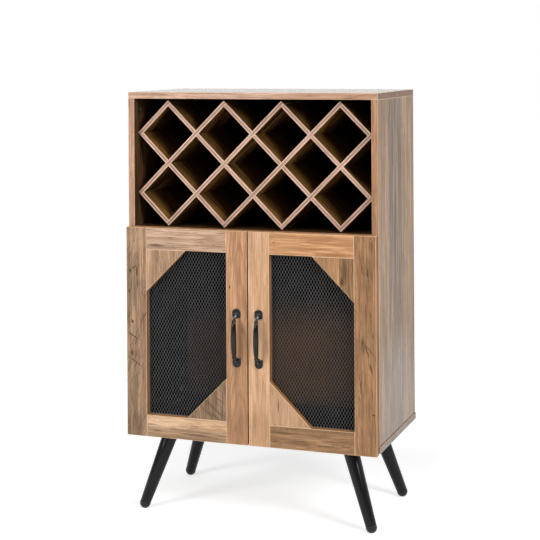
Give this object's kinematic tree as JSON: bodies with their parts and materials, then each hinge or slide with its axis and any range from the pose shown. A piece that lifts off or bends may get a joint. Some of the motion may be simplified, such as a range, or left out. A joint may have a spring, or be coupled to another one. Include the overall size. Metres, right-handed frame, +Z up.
{
  "type": "bar cabinet",
  "caption": "Bar cabinet on splayed legs: a diagonal lattice wine rack in an open bay above a cupboard with hinged mesh doors and rails for stemware inside.",
  "frame": {"origin": "on the floor, under the middle of the whole object's box", "axes": "+X to the right seen from the front, +Y to the back, +Z up"},
  "size_m": [0.604, 0.3636, 0.97],
  "materials": {
    "rustic_oak_board": "printed rustic oak laminate, matt",
    "rack_oak_board": "printed rustic oak laminate, matt",
    "dark_back_board": "dark brown printed hardboard",
    "beech": "plain beech",
    "black_lacquered_wood": "black lacquer, satin",
    "black_cast_zinc": "black powder coat, satin",
    "black_expanded_steel": "black powder coat, satin",
    "black_painted_steel": "black powder coat",
    "zinc_plated_steel": "zinc plated",
    "nickel_plated_steel": "nickel plated",
    "catch_plastic": "brown moulded plastic",
    "glide_plastic": "black moulded plastic"
  },
  "bodies": {
    "carcass": {"back_left_leg": "black_lacquered_wood", "back_right_leg": "black_lacquered_wood", "bottom_panel": "rustic_oak_board", "cam_bolts": "zinc_plated_steel", "cam_locks": "zinc_plated_steel", "carcass_screws": "zinc_plated_steel", "door_catches": "catch_plastic", "dowels": "beech", "foot_glides": "glide_plastic", "front_left_leg": "black_lacquered_wood", "front_right_leg": "black_lacquered_wood", "hinge_arms": "nickel_plated_steel", "hinge_pins": "nickel_plated_steel", "hinge_plates": "nickel_plated_steel", "left_side_panel": "rustic_oak_board", "leg_bolts": "zinc_plated_steel", "leg_plates": "zinc_plated_steel", "lower_back_panel": "dark_back_board", "middle_shelf": "rustic_oak_board", "right_side_panel": "rustic_oak_board", "stemware_rails": "black_painted_steel", "top_panel": "rustic_oak_board", "upper_back_panel": "dark_back_board"},
    "left_door": {"left_door_bottom_rail": "rustic_oak_board", "left_door_handle": "black_cast_zinc", "left_door_handle_screws": "zinc_plated_steel", "left_door_hinge_cups": "nickel_plated_steel", "left_door_hinge_stile": "rustic_oak_board", "left_door_lock_stile": "rustic_oak_board", "left_door_lower_gusset": "rustic_oak_board", "left_door_mesh": "black_expanded_steel", "left_door_screws": "zinc_plated_steel", "left_door_strike_plate": "zinc_plated_steel", "left_door_top_rail": "rustic_oak_board", "left_door_upper_gusset": "rustic_oak_board"},
    "right_door": {"right_door_bottom_rail": "rustic_oak_board", "right_door_handle": "black_cast_zinc", "right_door_handle_screws": "zinc_plated_steel", "right_door_hinge_cups": "nickel_plated_steel", "right_door_hinge_stile": "rustic_oak_board", "right_door_lock_stile": "rustic_oak_board", "right_door_lower_gusset": "rustic_oak_board", "right_door_mesh": "black_expanded_steel", "right_door_screws": "zinc_plated_steel", "right_door_strike_plate": "zinc_plated_steel", "right_door_top_rail": "rustic_oak_board", "right_door_upper_gusset": "rustic_oak_board"},
    "wine_rack": {"rack_corner_screws": "zinc_plated_steel", "rack_falling_board_1": "rack_oak_board", "rack_falling_board_2": "rack_oak_board", "rack_falling_board_3": "rack_oak_board", "rack_falling_board_4": "rack_oak_board", "rack_falling_board_5": "rack_oak_board", "rack_falling_board_6": "rack_oak_board", "rack_rising_board_1": "rack_oak_board", "rack_rising_board_2": "rack_oak_board", "rack_rising_board_3": "rack_oak_board", "rack_rising_board_4": "rack_oak_board", "rack_rising_board_5": "rack_oak_board", "rack_rising_board_6": "rack_oak_board"}
  },
  "joints": [
    {"name": "left_door_hinge", "type": "hinge", "parent": "carcass", "child": "left_door", "pos_m": [-0.2915, -0.1503, 0.41874], "axis": [0, 0, -1], "range_deg": [0, 95]},
    {"name": "right_door_hinge", "type": "hinge", "parent": "carcass", "child": "right_door", "pos_m": [0.2915, -0.1503, 0.41874], "axis": [0, 0, 1], "range_deg": [0, 95]},
    {"name": "rack_slide", "type": "slide", "parent": "carcass", "child": "wine_rack", "axis": [0, -1, 0], "range_m": [0, 0.3]}
  ]
}
